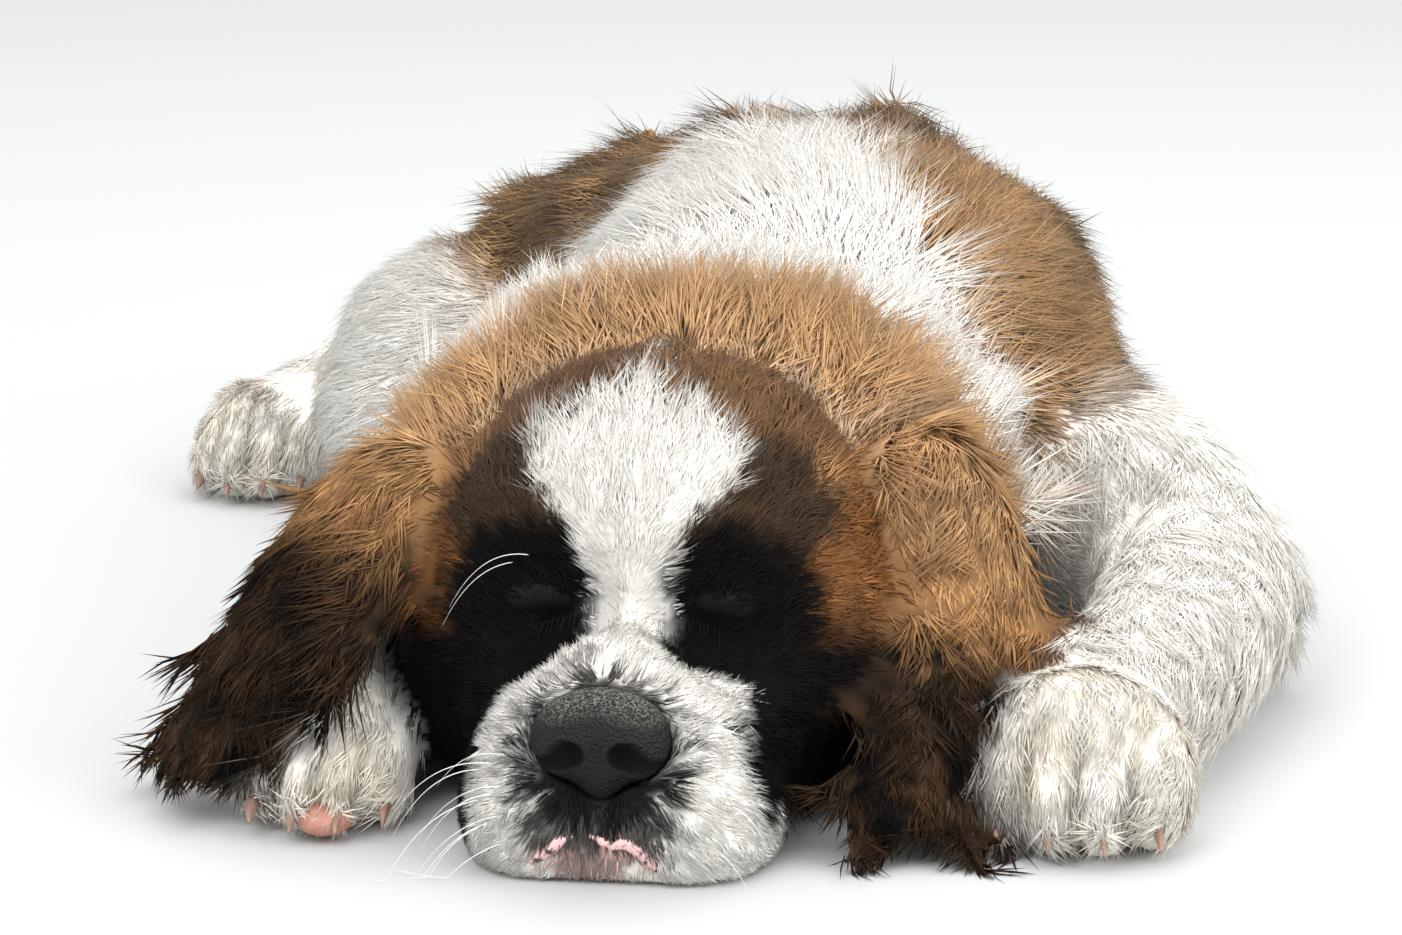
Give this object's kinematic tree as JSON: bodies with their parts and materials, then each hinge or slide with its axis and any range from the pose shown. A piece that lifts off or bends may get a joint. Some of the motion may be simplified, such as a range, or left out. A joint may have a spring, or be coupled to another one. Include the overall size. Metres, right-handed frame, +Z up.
{
  "type": "saint bernard puppy, asleep",
  "caption": "Life-size still model of a young saint bernard dog asleep on its chest, chin on the floor between its front paws.",
  "frame": {"origin": "middle of the footprint, at the floor", "axes": "+Z up, +Y from the nose towards the tail, +X towards the dog's left-hand side"},
  "size_m": [0.4054, 0.6336, 0.176],
  "materials": {
    "coat": "matte",
    "nose_leather": "satin",
    "eyelid_skin": "satin",
    "claw": "satin"
  },
  "bodies": {
    "root": {"head": "coat", "nose": "nose_leather", "eyelid_right": "eyelid_skin", "eyelid_left": "eyelid_skin", "forepaw_left_claw_1": "claw", "forepaw_left_claw_2": "claw", "forepaw_left_claw_3": "claw", "forepaw_left_claw_4": "claw", "forepaw_left": "coat", "forepaw_right_claw_1": "claw", "forepaw_right_claw_2": "claw", "forepaw_right_claw_3": "claw", "forepaw_right_claw_4": "claw", "forepaw_right": "coat", "hindpaw_right_claw_1": "claw", "hindpaw_right_claw_2": "claw", "hindpaw_right_claw_3": "claw", "hindpaw_right_claw_4": "claw", "hindpaw_right": "coat", "hindpaw_left_claw_1": "claw", "hindpaw_left_claw_2": "claw", "hindpaw_left_claw_3": "claw", "hindpaw_left_claw_4": "claw", "hindpaw_left": "coat", "foreleg_left": "coat", "foreleg_right": "coat", "hindleg_right": "coat", "hindleg_left": "coat", "ear_right": "coat", "ear_left": "coat", "torso": "coat", "hindquarters": "coat", "tail": "coat", "neck": "coat"}
  },
  "joints": []
}
